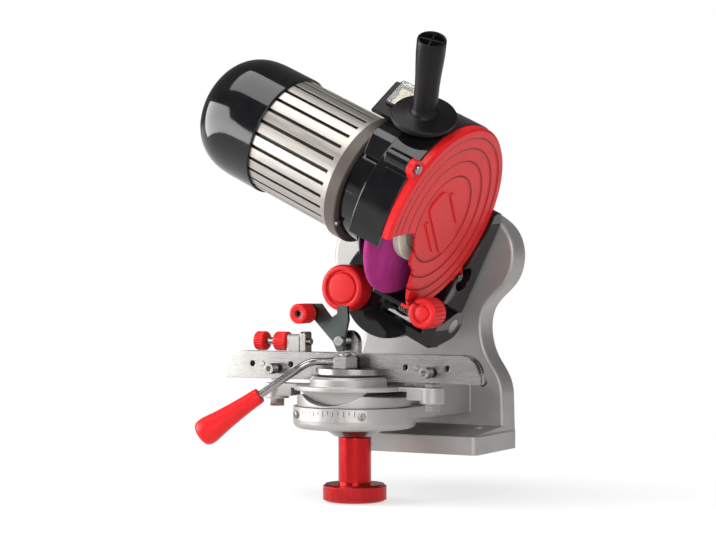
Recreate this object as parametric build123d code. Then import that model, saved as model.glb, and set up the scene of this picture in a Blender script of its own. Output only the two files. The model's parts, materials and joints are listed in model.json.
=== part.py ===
from build123d import *
import math
import os

# Bench chain grinder, millimetres. Every piece is drawn in the vise frame (X right, Y back,
# Z up from the rail top, vise axis at X = Y = 0) or in the head frame (x along the motor
# shaft, y back, z up, origin on the tilt axis). Both are then moved into the bench frame,
# whose origin is the middle of the two bench bolts on the underside of the foot.

VISE_Y = -98.0
RAIL_Z = 81.0

# Clearances
FIT = 0.05          # screw or pin in its own hole
RUN = 0.08          # radial play of a part that turns on another
GAP = 0.4           # between faces that move past each other

# Base casting
PLATE_FRONT = 111.0
PLATE_BACK = 132.0
PLATE_WALL = 8.0
WAIST_HALF = 55.0       # narrowest place of the plate, and its height
WAIST_Z = 15.0
LOBE_HALF = 84.3        # widest place of its upper part
LOBE_Z = 74.0
PLATE_TOP = 121.0
FLARE_Z = -36.0         # its sides are straight below this
FOOT_FRONT = 53.0
FOOT_BOTTOM = -81.0
FOOT_TOP = -66.5
FOOT_HALF = 75.5
ARM_HALF = 47.5
ARM_END = 62.0
ARM_BOTTOM = -53.0
RISER_HALF = 44.5
RISER_FRONT = 56.0
RISER_BOTTOM = -51.5
RISER_TOP = -23.5
CUP_R = 48.0
CUP_BOTTOM = -58.0
CUP_TOP = -41.0
BOLT_R = 4.25
BENCH_BOLT_X = 60.0
BENCH_BOLT_Y = -VISE_Y
WALL_BOLT_X = 56.4
WALL_BOLT_Z = -26.4
SCALE_TURN = 36.0
SCALE_Z = -46.5

# Vise: turntable, rocking body, jaws
SWIVEL_R = 45.0
DISC_R = 47.0
SPIGOT_R = 24.0
SPIGOT_DEPTH = 5.0
ROCK_Z = 7.4        # height of the axis the vise body rocks about
ROCK_MAX = 5.0
KEEL_R = 46.4
KEEL_HALF = 33.0
STUD_R = 5.0
SHOE_R = 34.0
SHOE_HALF = 8.0
DISC_BOTTOM = -28.2
DISC_TOP = -25.0
BLOCK_R = 32.0
BLOCK_TOP = -17.8
JAW_LEFT = -116.0
JAW_RIGHT = 110.0
JAW_HEIGHT = 21.6
JAW_THICK = 4.0
JAW_OPEN = 1.0      # each jaw face from the chain line when open
GUIDE_X = 69.5
GUIDE_Z = -13.4
GUIDE_R = 1.7
EAR_X = 69.5
EAR_Y = -3.0
EAR_R = 9.5
EAR_BOTTOM = -37.0
LINK_BOTTOM = EAR_BOTTOM + 2.4
RAIL_HEX = 11.0
JAW_SCREW_X = 34.0
JAW_SCREW_Z = -17.0
JAW_HOLES = (-91.5, -55.6, 47.6, 83.5)
JAW_DOWELS = (-82.0, 57.5)

# Clamp lever
HUB_X = 1.0
HUB_Y = -16.0
HUB_Z = -6.5
HUB_FLATS = 18.0
PIVOT_R = 3.5
LEVER_R = 3.0
LEVER_BEND = Vector(-30.5, -20, -7)
LEVER_END = Vector(-115, -45, -66.3)
GRIP_START = 47.0
GRIP_LONG = 58.5
CLAMP_STROKE = 1.5

# Chain stop
STOP_Y = 10.0
STOP_ROD_Z = 7.7
STOP_ROD_R = 3.0
STOP_PIN_X = -13.0
STOP_PIN_Z = 9.0
STOP_KNOB_X = -41.0
STOP_KNOB_Z = 30.5
STOP_POST = (-65.6, -54.0)

# Head
HEAD_TILT = 26.0
TILT_X = 2.0
TILT_Z = 50.0
TILT_LOW = -26.0
TILT_HIGH = 14.0
PIVOT_BOLT_R = 8.0
AXIS_Y = 17.0
AXIS_Z = 77.5
HINGE_Y = 76.0
HINGE_Z = -7.5
HINGE_R = 6.0
BUSH_R = 8.0
YOKE_FRONT = 47.6
YOKE_THICK = 12.4
YOKE_R = 40.0
SLOT_LEFT = 2.6
SLOT_RIGHT = 43.6
SLOT_FLOOR = -18.0
LEG_RIGHT = 54.0
HUB_FRONT = 90.0
LOCK_ACROSS = -31.4     # tilt lock from the tilt axis, across and up, at rest
LOCK_UP = 0.4
LOCK_STUD_R = 4.0
LOCK_KNOB_R = 18.75
LOCK_KNOB_Y = 29.0
DEPTH_X = 51.2
DEPTH_Z = 4.0
DEPTH_R = 12.3
DEPTH_TIP = 47.6

# Return spring round the hinge pin
SPRING_R = 9.2
SPRING_WIRE = 1.0
SPRING_TURNS = 3
SPRING_START = 5.2
SPRING_PITCH = 2.6

# Wheel and guard
WHEEL_X = 17.0
WHEEL_R = 72.5
WHEEL_THICK = 4.7
WHEEL_BORE_R = 11.15
FLANGE_R = 41.0
DRUM_BACK = 3.0
DRUM_FRONT = 31.0
DRUM_R = 78.0
DRUM_IN_R = 74.5
COVER_R = 77.0
COVER_RIM = 38.5
COVER_STEP = 0.7
COVER_STEPS = (69.0, 60.0, 49.0, 36.0)
COVER_IN = DRUM_FRONT + 0.2
TAB_R = 84.0
TAB_TURNS = (152.5, -36.0)
TAB_DEEP = (20.0, 9.0)
OPEN_Z = -27.0      # guard is open in front below this, from the wheel axis

# Motor
SHAFT_R = 8.0
ARBOR_R = 6.0
FLANGE_BACK = -41.0
FLANGE_FRONT = -30.0
CASE_R = 48.0
CASE_WALL = 4.5
CASE_IN_R = CASE_R - CASE_WALL
CASE_BACK = -124.0
CASE_SLOTS = 28
MOTOR_FLANGE_R = CASE_R + 3.5
FLANGE_SCREW_R = CASE_R + 0.9
NECK_R = CASE_R - 2.0   # neck of the guard housing
NECK_WIDE_R = NECK_R + 16.0     # where it meets the drum
CAP_R = CASE_R + 2.0
CAP_WALL = 3.5
CAP_LONG = 67.0         # from the end of the case to the end of the cap
CAP_DOME = 45.0
BEARING_R = 17.5
REAR_BEARING_R = 14.0
CORE_BACK = CASE_BACK + 16.0
CORE_FRONT = FLANGE_BACK - 15.0
CORE_BORE_R = 27.0
FAN_R = CASE_R - 9.0
FAN_BACK = CASE_BACK - 32.0
FAN_FRONT = CASE_BACK - 10.0

# Handle and switch
HANDLE_LEAN = 31.5
HANDLE_X = 9.0
HANDLE_SEAT = 82.0
HANDLE_TOP = 153.0
SWITCH_X = -24.0        # bottom of the switch box's face, in the middle
SWITCH_Y = -14.0
SWITCH_Z = AXIS_Z + CASE_R + 9.0
SWITCH_LEAN = 39.0
BOX_HALF = 19.0
BOX_DEEP = 22.0
BOX_TALL = 32.0
BOX_WALL = 3.0
SEAT_R = CASE_R + 12.0  # seat of the switch box, from the wheel axis, in front
SEAT_BACK_R = CASE_R + 4.0      # and behind
SEAT_SPLIT = 6.0
SEAT_X = (-27.0, -5.0)
ROCKER_Y = 3.5
ROCKER_Z = 19.0
ROCKER_HALF = 7.5
FLAP_HALF = 9.8
FLAP_Y = -1.9
FLAP_Z = 30.8
FLAP_PIN_R = 0.7
GLAND_X = SWITCH_X + 6.0
GLAND_Y = 26.0          # end of the boss for the gland
GLAND_Z = SWITCH_Z + 4.8
GLAND_R = 5.0
GLAND_BORE_R = 3.6

WORLD = Pos(0, VISE_Y, RAIL_Z)
HEAD = WORLD * Pos(TILT_X, 0, TILT_Z) * Rot(0, HEAD_TILT, 0)
AXIS = Pos(0, AXIS_Y, AXIS_Z)
SWITCH = Pos(SWITCH_X, SWITCH_Y, SWITCH_Z) * Rot(-SWITCH_LEAN, 0, 0)


def box(x0, x1, y0, y1, z0, z1):
    return Pos((x0 + x1) / 2, (y0 + y1) / 2, (z0 + z1) / 2) * Box(x1 - x0, y1 - y0, z1 - z0)


def cyl_x(r, x0, x1, y=0.0, z=0.0):
    return Pos((x0 + x1) / 2, y, z) * Rot(0, 90, 0) * Cylinder(r, x1 - x0)


def cyl_y(r, y0, y1, x=0.0, z=0.0):
    return Pos(x, (y0 + y1) / 2, z) * Rot(90, 0, 0) * Cylinder(r, y1 - y0)


def cyl_z(r, z0, z1, x=0.0, y=0.0):
    return Pos(x, y, (z0 + z1) / 2) * Cylinder(r, z1 - z0)


def plate_xy(face, z0, z1):
    return Pos(0, 0, z0) * extrude(face, z1 - z0)


def plate_xz(face, y0, y1):
    # the face is drawn with X across and Z up
    return Pos(0, y1, 0) * Rot(90, 0, 0) * extrude(face, y1 - y0)


def plate_yz(face, x0, x1):
    # the face is drawn with Y across and Z up
    return Plane((x0, 0, 0), x_dir=(0, 1, 0), z_dir=(1, 0, 0)).location * extrude(face, x1 - x0)


def polygon(points):
    return make_face(Polyline(points, close=True))


def hull(circles):
    # one face round several circles, each given as (radius, across, up)
    return make_hull([e for r, a, b in circles for e in (Pos(a, b) * Circle(r)).edges()])


def turned_x(points):
    # points are (x, radius)
    return revolve(polygon(points), Axis.X)


def turned_z(points):
    # points are (radius, z)
    return revolve(polygon([(r, 0, z) for r, z in points]), Axis.Z)


def hex_face(flats):
    return RegularPolygon(flats / 2, 6, major_radius=False)


def ribbed_face(r, count, depth):
    # round face with grip flutes
    return Circle(r) - PolarLocations(r + depth * 0.5, count) * Circle(depth)


def polar(r, turn):
    a = math.radians(turn)
    return (r * math.cos(a), r * math.sin(a))


def group(pieces):
    return Compound([p.solid() for p in pieces])


def save(name, shape, place):
    solids = list((place * shape).solids())
    out = solids[0] if len(solids) == 1 else Compound(solids)
    out.label = name
    export_step(out, "parts/" + name + ".step")
    print(name, len(solids), round(sum(s.volume for s in solids) / 1000, 2))


# Base

def lock_arc(half, y0, y1):
    # arc that the tilt lock stud sweeps through the plate
    reach = math.hypot(LOCK_ACROSS, LOCK_UP)
    rest = math.degrees(math.atan2(LOCK_UP, LOCK_ACROSS))
    arc = CenterArc((0, 0), reach, rest - TILT_HIGH - 1, TILT_HIGH - TILT_LOW + 2)
    return Pos(TILT_X, 0, TILT_Z) * plate_xz(SlotArc(arc, 2 * half), y0, y1)


def base_casting():
    def side(s):
        return [
            Line((s * FOOT_HALF, FOOT_BOTTOM), (s * (FOOT_HALF - 1.2), FLARE_Z)),
            Spline([(s * (FOOT_HALF - 1.2), FLARE_Z), (s * (WAIST_HALF + 5.5), WAIST_Z - 20),
                    (s * WAIST_HALF, WAIST_Z), (s * (WAIST_HALF + 4), WAIST_Z + 20),
                    (s * (LOBE_HALF - 6.9), LOBE_Z - 19.5), (s * LOBE_HALF, LOBE_Z),
                    (s * (LOBE_HALF - 6.8), LOBE_Z + 24), (s * (LOBE_HALF - 34.3), PLATE_TOP - 5),
                    (0, PLATE_TOP)],
                   tangents=[(-0.05 * s, 1), (-s, 0)]),
        ]
    bottom = Line((-FOOT_HALF, FOOT_BOTTOM), (FOOT_HALF, FOOT_BOTTOM))
    plate = plate_xz(make_face(side(1) + side(-1) + [bottom]), PLATE_FRONT, PLATE_BACK)
    front = plate.faces().sort_by(Axis.Y)[0].edges()
    plate = fillet([e for e in front if e.center().Z > FOOT_BOTTOM + 1], 3)
    foot_outline = [(-FOOT_HALF, PLATE_BACK), (-FOOT_HALF, 105), (-42, FOOT_FRONT), (79, FOOT_FRONT),
                    (FOOT_HALF, PLATE_BACK)]
    foot = plate_xy(polygon(foot_outline), FOOT_BOTTOM, FOOT_TOP)
    foot = fillet(foot.edges().filter_by(Axis.Z).group_by(Axis.Y)[0], 5)
    back = PLATE_FRONT + 1
    slope = polygon([(FOOT_FRONT + 6, FOOT_TOP), (back, FOOT_TOP), (back, FOOT_TOP + 5)])
    foot += plate_yz(slope, -42, FOOT_HALF - 1)
    cup = cyl_z(CUP_R, CUP_BOTTOM, CUP_TOP)
    cup = fillet(cup.edges().filter_by(GeomType.CIRCLE).sort_by(Axis.Z)[0], 5)
    arm = box(-ARM_HALF, ARM_HALF, 0, ARM_END, ARM_BOTTOM, CUP_TOP)
    arm = fillet(arm.edges().filter_by(Axis.Z).group_by(Axis.Y)[-1], 8)
    arm = fillet(arm.faces().sort_by(Axis.Z)[0].edges().sort_by(Axis.Y)[1:], 4)
    riser = box(-RISER_HALF, RISER_HALF, RISER_FRONT, PLATE_FRONT + 1, RISER_BOTTOM, RISER_TOP)
    riser = fillet(riser.edges().filter_by(Axis.X).group_by(Axis.Z)[-1].sort_by(Axis.Y)[0], 6)
    body = plate + foot + arm + cup + riser
    # hollow back, with a post left for the pivot bolt
    hollow = cyl_y(50, PLATE_FRONT + PLATE_WALL, PLATE_BACK + 1, TILT_X, TILT_Z + 8)
    hollow -= cyl_y(15, PLATE_FRONT, PLATE_BACK - 9, TILT_X, TILT_Z)
    body -= hollow
    body -= lock_arc(LOCK_STUD_R + GAP, PLATE_FRONT - 1, PLATE_BACK)
    body -= cyl_y(PIVOT_BOLT_R + FIT, PLATE_FRONT - 1, PLATE_BACK, TILT_X, TILT_Z)
    body -= cyl_z(SPIGOT_R + RUN, CUP_TOP - SPIGOT_DEPTH - GAP, CUP_TOP + 1)
    body -= cyl_z(STUD_R + GAP, CUP_BOTTOM - 1, CUP_TOP)
    for s in (-1, 1):
        body -= cyl_z(BOLT_R, FOOT_BOTTOM - 1, FOOT_TOP + 9, s * BENCH_BOLT_X, BENCH_BOLT_Y)
        body -= cyl_y(BOLT_R, PLATE_FRONT - 1, PLATE_BACK + 1, s * WALL_BOLT_X, WALL_BOLT_Z)
        body -= Rot(0, 0, s * SCALE_TURN) * cyl_y(1.6, -CUP_R - 2, -36, 0, SCALE_Z)
    return body


def scale_plate():
    ring = cyl_z(CUP_R + 0.9, -51, -41.6) - cyl_z(CUP_R, -52, -41)
    band = ring & plate_xy(polygon([(0, 0), polar(99, -131), polar(99, -90), polar(99, -49)]), -52, -41)
    for s in (-1, 1):
        band -= Rot(0, 0, s * SCALE_TURN) * cyl_y(1.6, -CUP_R - 2, -36, 0, SCALE_Z)
    for i in range(-6, 7):
        long = 4.5 if i % 2 == 0 else 3.0
        band -= Rot(0, 0, i * 5) * box(-0.25, 0.25, -CUP_R - 1.5, -CUP_R - 0.6, -42.4 - long, -42.4)
    return band


def scale_screws():
    head = cyl_y(3.1, -CUP_R - 2.9, -CUP_R - 1.0, 0, SCALE_Z)
    head = fillet(head.edges().filter_by(GeomType.CIRCLE).sort_by(Axis.Y)[0], 0.8)
    screw = head + cyl_y(1.55, -CUP_R - 1.5, -37, 0, SCALE_Z)
    screw -= box(-0.4, 0.4, -CUP_R - 3.5, -CUP_R - 2.1, SCALE_Z - 4, SCALE_Z + 4)
    return group([Rot(0, 0, s * SCALE_TURN) * screw for s in (-1, 1)])


# Vise

def vise_turntable():
    table = cyl_z(SWIVEL_R, CUP_TOP + GAP, DISC_BOTTOM)
    table += cyl_z(SPIGOT_R, CUP_TOP - SPIGOT_DEPTH, CUP_TOP + 1)
    # trough the keel of the vise body rocks in, and a top that falls away to both sides
    table -= cyl_y(KEEL_R + GAP, -60, 60, 0, ROCK_Z)
    low = DISC_BOTTOM - GAP
    drop = math.tan(math.radians(ROCK_MAX + 0.8)) * 60
    table -= plate_xz(polygon([(-60, low - drop), (0, low), (60, low - drop), (60, 0), (-60, 0)]), -60, 60)
    table -= cyl_z(STUD_R + FIT, CUP_BOTTOM, 0)
    # index mark at the front
    return table - box(-0.5, 0.5, -SWIVEL_R - 1, -SWIVEL_R + 0.6, CUP_TOP, -36)


def lock_stud():
    # stud with a curved shoe that clamps the keel down on the turntable
    shoe = cyl_y(SHOE_R, -SHOE_HALF, SHOE_HALF, 0, ROCK_Z) & box(-7.5, 7.5, -9, 9, -29, -23.4)
    return shoe + cyl_z(STUD_R, CUP_BOTTOM - 24, -24)


def vise_body():
    keel = cyl_y(KEEL_R, -KEEL_HALF, KEEL_HALF, 0, ROCK_Z) & box(-60, 60, -60, 60, -60, DISC_BOTTOM + 1)
    disc = cyl_z(DISC_R, DISC_BOTTOM, DISC_TOP)
    front = -JAW_OPEN - JAW_THICK
    block = cyl_z(BLOCK_R, DISC_TOP - 1, BLOCK_TOP, 0, -6) & box(-50, 50, -60, front - 0.5, -60, 0)
    block = chamfer(block.faces().sort_by(Axis.Z)[-1].edges().filter_by(GeomType.CIRCLE), 2)
    rear = box(-42, 42, -front, 22, DISC_TOP - 1, -3)
    rear = fillet(rear.edges().filter_by(Axis.X).group_by(Axis.Z)[-1].sort_by(Axis.Y)[-1], 4)
    rear -= box(-60, 60, 12.5, 40, -14.5, 0)
    body = keel + disc + block + rear
    for s in (-1, 1):
        ear = cyl_z(EAR_R, EAR_BOTTOM, DISC_TOP, s * EAR_X, EAR_Y)
        ends = sorted((s * 30, s * EAR_X))
        link = box(*ends, EAR_Y - 8, EAR_Y + 8, LINK_BOTTOM, DISC_TOP)
        # the link keeps clear of the turntable when the body rocks
        body += ear + (link - cyl_z(SWIVEL_R + 8, -99, DISC_BOTTOM))
        body -= cyl_z(2.5 + FIT, -60, 0, s * EAR_X, EAR_Y)
        body -= cyl_y(2.5 + FIT, 0, 13, s * JAW_SCREW_X, JAW_SCREW_Z)
    # slot for the shoe and stud of the lock
    half = SHOE_HALF + GAP
    body -= box(-12.5, 12.5, -half, half, -99, -19) & cyl_y(SHOE_R + GAP, -20, 20, 0, ROCK_Z)
    body -= box(-11.2, 11.2, -STUD_R - GAP, STUD_R + GAP, -60, -22)
    return body - cyl_z(PIVOT_R + FIT, -26.5, 0, HUB_X, HUB_Y)


def jaw_face():
    face = polygon([(JAW_LEFT, -JAW_HEIGHT), (JAW_RIGHT, -JAW_HEIGHT), (JAW_RIGHT, 0), (JAW_LEFT, 0)])
    return fillet(face.vertices().group_by(Axis.Y)[-1], 15)


def rear_jaw():
    jaw = plate_xz(jaw_face(), JAW_OPEN, JAW_OPEN + JAW_THICK)
    for s in (-1, 1):
        jaw -= cyl_y(GUIDE_R + FIT, -9, 19, s * GUIDE_X, GUIDE_Z)
        jaw -= cyl_y(2.5 + FIT, -9, 19, s * JAW_SCREW_X, JAW_SCREW_Z)
        jaw -= cyl_y(4.3, -9, JAW_OPEN + 2.5, s * JAW_SCREW_X, JAW_SCREW_Z)
    return jaw


def front_jaw():
    jaw = plate_xz(jaw_face(), -JAW_OPEN - JAW_THICK, -JAW_OPEN)
    for s in (-1, 1):
        jaw -= cyl_y(GUIDE_R + RUN, -19, 9, s * GUIDE_X, GUIDE_Z)
    for x in JAW_HOLES:
        jaw -= cyl_y(2.4, -19, 9, x, -10)
    for x in JAW_DOWELS:
        jaw -= cyl_y(2.0 + FIT, -19, 9, x, -10)
    return jaw


def jaw_dowels():
    return group([cyl_y(2.0, -JAW_OPEN - JAW_THICK - 0.5, -JAW_OPEN, x, -10) for x in JAW_DOWELS])


def guide_screws():
    # socket screws fixed in the rear jaw, on which the front jaw slides
    front = -JAW_OPEN - JAW_THICK
    screw = plate_xz(ribbed_face(4.3, 20, 0.25), front - 11, front - 3)
    screw += cyl_y(GUIDE_R, front - 4, JAW_OPEN + JAW_THICK + 3)
    screw -= plate_xz(hex_face(4.0), front - 12, front - 8)
    return group([Pos(s * GUIDE_X, 0, GUIDE_Z) * screw for s in (-1, 1)])


def jaw_screws():
    screw = cyl_y(4.2, JAW_OPEN + 0.1, JAW_OPEN + 2.4) + cyl_y(2.5, JAW_OPEN + 2, 12.8)
    return group([Pos(s * JAW_SCREW_X, 0, JAW_SCREW_Z) * screw for s in (-1, 1)])


def rail_screws():
    screw = cyl_z(2.5, EAR_BOTTOM - 5, -JAW_HEIGHT - 0.1)
    screw += plate_xy(hex_face(RAIL_HEX), EAR_BOTTOM - 6, EAR_BOTTOM - 0.1)
    return group([Pos(s * EAR_X, EAR_Y, 0) * screw for s in (-1, 1)])


def rail_nuts():
    nut = plate_xy(hex_face(RAIL_HEX - 1), DISC_TOP + 0.1, -JAW_HEIGHT - 0.3) - cyl_z(2.5 + FIT, -40, 0)
    return group([Pos(s * EAR_X, EAR_Y, 0) * nut for s in (-1, 1)])


def clamp_shoe():
    # half-round plate that the lever drives against the front jaw
    shoe = cyl_z(31, -17.2, -11.6, 0, -1) & box(-50, 50, -60, -JAW_OPEN - JAW_THICK, -60, 0)
    shoe = fillet(shoe.edges().filter_by(GeomType.CIRCLE).sort_by(Axis.Z)[0], 1.5)
    slot = SlotOverall(2 * (PIVOT_R + GAP) + 2 * CLAMP_STROKE, 2 * (PIVOT_R + GAP), rotation=90)
    return shoe - Pos(HUB_X, HUB_Y - CLAMP_STROKE / 2, 0) * plate_xy(slot, -40, 0)


def lever_pivot():
    return cyl_z(PIVOT_R, -26.3, -1.0, HUB_X, HUB_Y) + cyl_z(5, -1.3, -0.2, HUB_X, HUB_Y)


def lever_hub():
    hub = plate_xy(hex_face(HUB_FLATS), -11.2, -1.7)
    hub &= turned_z([(0, -12), (11, -12), (11, -3), (9.2, -1.6), (0, -1.6)])
    hub -= cyl_z(PIVOT_R + RUN, -20, 5)
    return Pos(HUB_X, HUB_Y, 0) * hub - cyl_x(LEVER_R + FIT, HUB_X - 20, HUB_X - 4.6, HUB_Y, HUB_Z)


def lever_rod():
    start = Vector(HUB_X - 4.8, HUB_Y, HUB_Z)
    out = (LEVER_END - LEVER_BEND).normalized()
    before = Vector(-22, HUB_Y, HUB_Z)
    after = LEVER_BEND + out * 10
    end = LEVER_BEND + out * (GRIP_START + 30)
    bend = Spline(before, after, tangents=[before - start, out])
    path = Wire([Line(start, before), bend, Line(after, end)])
    return sweep(Plane(origin=start, z_dir=before - start) * Circle(LEVER_R), path)


def lever_grip():
    out = (LEVER_END - LEVER_BEND).normalized()
    place = Plane(origin=LEVER_BEND + out * GRIP_START, x_dir=(0, 1, 0), z_dir=out).location
    grip = turned_z([(0, 0), (5.4, 0), (6.3, 1), (7.2, 18), (8.8, 34), (10.4, 46), (11, 52), (10.2, 56.5),
                     (8, GRIP_LONG), (0, GRIP_LONG)])
    grip -= cyl_z(LEVER_R + FIT, -1, 30.2)
    return place * (grip - cyl_z(2.4, 48, 70))


def lock_washer():
    top = CUP_BOTTOM - 0.1
    return turned_z([(STUD_R + FIT, top), (CUP_R / 2, top), (CUP_R / 2 - 1, top - 1.7), (16, top - 6.4),
                     (STUD_R + FIT, top - 6.4)])


def vise_lock_knob():
    shank = cyl_z(12.9, -102, -64.9)
    shank = fillet(shank.edges().filter_by(GeomType.CIRCLE).sort_by(Axis.Z)[-1], 1)
    knurl = plate_xy(ribbed_face(24.8, 64, 0.7), -113.8, -103.2)
    core = turned_z([(0, -115), (22.8, -115), (24, -113.8), (24, -103.2), (22.8, -101.6), (0, -101.6)])
    return shank + knurl + core - cyl_z(STUD_R + RUN, -82.4, 0)


# Chain stop

def stop_bracket():
    # upright on the rear jaw in which the adjusting rod slides
    body = box(*STOP_POST, JAW_OPEN + JAW_THICK, STOP_Y + 5, -14, 13.5)
    body = fillet(body.edges().filter_by(Axis.X).group_by(Axis.Z)[-1], 3)
    return body - cyl_x(STOP_ROD_R + RUN, -80, -40, STOP_Y, STOP_ROD_Z)


def stop_carriage():
    # bar behind the rear jaw, with an upright for the rod and a lug for the pawl
    back = JAW_OPEN + JAW_THICK + GAP
    left = STOP_POST[1] + 0.5
    bar = box(left, -2, back, 12, -2.5, -0.2)
    upright = box(left, left + 5, back, STOP_Y + 5, -2.5, 15.6)
    upright = fillet(upright.edges().filter_by(Axis.X).group_by(Axis.Z)[-1], 2.5)
    lug = cyl_y(9.4, 6, 12, -10, 8) + box(-19.4, -0.6, 6, 12, -0.5, 8)
    body = bar + upright + lug
    body -= cyl_x(STOP_ROD_R + FIT, left - 1, left + 9, STOP_Y, STOP_ROD_Z)
    return body - cyl_y(2.5 + FIT, -5, 20, STOP_PIN_X, STOP_PIN_Z)


def stop_rod():
    end = STOP_POST[1] + 5.5
    rod = cyl_x(STOP_ROD_R, -98.3, end, STOP_Y, STOP_ROD_Z)
    return rod + cyl_x(2.6, end - 1, end + 3, STOP_Y, STOP_ROD_Z)


def grip_knob(r, x0, x1, bore):
    knob = plate_yz(ribbed_face(r, 18, 0.9), x0 + 1.2, x1 - 1.2) + cyl_x(r - 1.2, x0, x1)
    return knob - cyl_x(bore, x0 - 1, x1 + 1)


def stop_adjust_knob():
    return Pos(0, STOP_Y, STOP_ROD_Z) * grip_knob(7.8, -96.6, -87, STOP_ROD_R + RUN)


def stop_lock_knob():
    return Pos(0, STOP_Y, STOP_ROD_Z) * grip_knob(7.8, -78.2, STOP_POST[0] - 0.5, STOP_ROD_R + RUN)


def stop_pawl():
    # forked pawl of sheet steel, with a lobe for the thumb screw
    outline = [(-43.7, 38.2), (-30.4, 38.3), (-24.3, 31), (-20.7, 27.1), (-15.2, 30.5), (-15.2, 36.5),
               (-6.1, 36.6), (-5.2, 25.7), (-8.9, 10), (-9.8, 1.2), (-15.6, 1.2), (-18.8, 8.2), (-39, 28.4),
               (-42, 31.5)]
    pawl = plate_xz(polygon(outline), -1.5, 1.5) + cyl_y(4.5, -1.5, 1.5, STOP_KNOB_X, STOP_KNOB_Z)
    pawl -= cyl_y(2.5 + RUN, -9, 20, STOP_PIN_X, STOP_PIN_Z)
    return pawl - cyl_y(2.2 + RUN, -9, 20, STOP_KNOB_X, STOP_KNOB_Z)


def stop_pin():
    pin = cyl_y(2.5, -2, 12.2, STOP_PIN_X, STOP_PIN_Z) + cyl_y(4, -3.2, -1.9, STOP_PIN_X, STOP_PIN_Z)
    return pin + cyl_y(4, 1.9, 5.9, STOP_PIN_X, STOP_PIN_Z)


def stop_knob():
    # thumb screw, its knob moulded on
    knob = plate_xz(ribbed_face(8, 18, 0.9), -17.8, -3.2) + cyl_y(6.8, -19, -2)
    return Pos(STOP_KNOB_X, 0, STOP_KNOB_Z) * (knob + cyl_y(2.2, -4, 3))


# Tilting yoke

def on_lock(r, y0, y1):
    # cylinder on the tilt lock's line, in the head frame
    a = math.radians(HEAD_TILT)
    across = LOCK_ACROSS * math.cos(a) - LOCK_UP * math.sin(a)
    up = LOCK_ACROSS * math.sin(a) + LOCK_UP * math.cos(a)
    return cyl_y(r, y0, y1, across, up)


def tilt_yoke():
    back = YOKE_FRONT + YOKE_THICK
    rear = PLATE_FRONT - GAP
    disc = cyl_y(YOKE_R, YOKE_FRONT, back) - box(SLOT_LEFT, 90, 0, 90, SLOT_FLOOR, 90)
    disc -= box(-17, 90, 0, 90, 20, 90)
    block = box(-15, SLOT_LEFT, YOKE_FRONT, rear, -17, 16)
    hub = cyl_y(24, HUB_FRONT, rear)
    floor = box(0, LEG_RIGHT, YOKE_FRONT, back, -26, SLOT_FLOOR)
    leg = plate_yz(hull([(11, 62, -14), (12.5, HINGE_Y + 1, HINGE_Z)]), SLOT_RIGHT, LEG_RIGHT)
    leg += box(SLOT_RIGHT, LEG_RIGHT, YOKE_FRONT, 64, -26, -6)
    leg = fillet(leg.edges().filter_by(Axis.X).group_by(Axis.Y)[0].sort_by(Axis.Z)[-1], 4)
    boss = on_lock(10, back - 1, rear)
    web = box(-28, -10, HUB_FRONT, rear, -19, -7)
    body = disc + block + hub + floor + leg + boss + web
    body -= cyl_y(PIVOT_BOLT_R + RUN, 80, 120)
    body -= cyl_y(14, 80, HUB_FRONT + 8)
    body -= cyl_x(HINGE_R + FIT, -13, 61, HINGE_Y, HINGE_Z)
    return body - on_lock(LOCK_STUD_R + FIT, 40, 120)


def tilt_lock_stud():
    return on_lock(LOCK_STUD_R, LOCK_KNOB_Y + 7, PLATE_FRONT + PLATE_WALL + 7)


def tilt_lock_nut():
    wall = PLATE_FRONT + PLATE_WALL
    return on_lock(7.5, wall + GAP, wall + 6) - on_lock(LOCK_STUD_R + FIT, wall, wall + 9)


def tilt_lock_knob():
    back = YOKE_FRONT - GAP
    knob = on_lock(LOCK_KNOB_R, LOCK_KNOB_Y, back)
    knob = fillet(knob.edges().filter_by(GeomType.CIRCLE), 2)
    knob -= on_lock(14.5, LOCK_KNOB_Y - 1, LOCK_KNOB_Y + 2) - on_lock(12, LOCK_KNOB_Y - 1, LOCK_KNOB_Y + 2)
    return knob - on_lock(LOCK_STUD_R + RUN, LOCK_KNOB_Y + 6.6, back + 1)


def tilt_pivot_bolt():
    head = plate_xz(hex_face(22), HUB_FRONT + 0.5, HUB_FRONT + 7.6)
    return head + cyl_y(PIVOT_BOLT_R, HUB_FRONT + 5, PLATE_BACK - 1)


def tilt_pivot_nut():
    return plate_xz(hex_face(22), PLATE_BACK - 8.6, PLATE_BACK - 2) - cyl_y(PIVOT_BOLT_R + FIT, 100, 140)


def hinge_pin():
    return cyl_x(HINGE_R, -12.5, LEG_RIGHT, HINGE_Y, HINGE_Z)


def return_spring():
    # torsion spring round the hinge pin, drawn as quarter-turn arcs
    def at(turn):
        y, z = polar(SPRING_R, 360 * turn)
        return Vector(SPRING_START + SPRING_PITCH * turn, HINGE_Y + y, HINGE_Z + z)
    steps = SPRING_TURNS * 4
    arcs = [ThreePointArc(at(i / 4), at(i / 4 + 0.125), at(i / 4 + 0.25)) for i in range(steps)]
    path = Wire(arcs)
    least = min((at(t / 40) - at(t / 40 + 1)).length for t in range(40 * (SPRING_TURNS - 1)))
    print("return_spring least gap", round(least - 2 * SPRING_WIRE, 2))
    return sweep(Plane(origin=path @ 0, z_dir=path % 0) * Circle(SPRING_WIRE), path)


# Swinging head

def radial(shape):
    # from the wheel axis out along the handle
    return AXIS * (Pos(HANDLE_X, 0, 0) * Rot(HANDLE_LEAN, 0, 0) * shape)


def switch_seat(more, across):
    # rounded pad on the neck under the switch box, or the same with some more all round
    front = box(*across, -26 - more, SEAT_SPLIT + more, AXIS_Z + 25, 200)
    front &= AXIS * cyl_x(SEAT_R + more, -99, 99)
    back = box(*across, SEAT_SPLIT, 24 + more, AXIS_Z + 25, 200)
    return front + (back & AXIS * cyl_x(SEAT_BACK_R + more, -99, 99))


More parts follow.
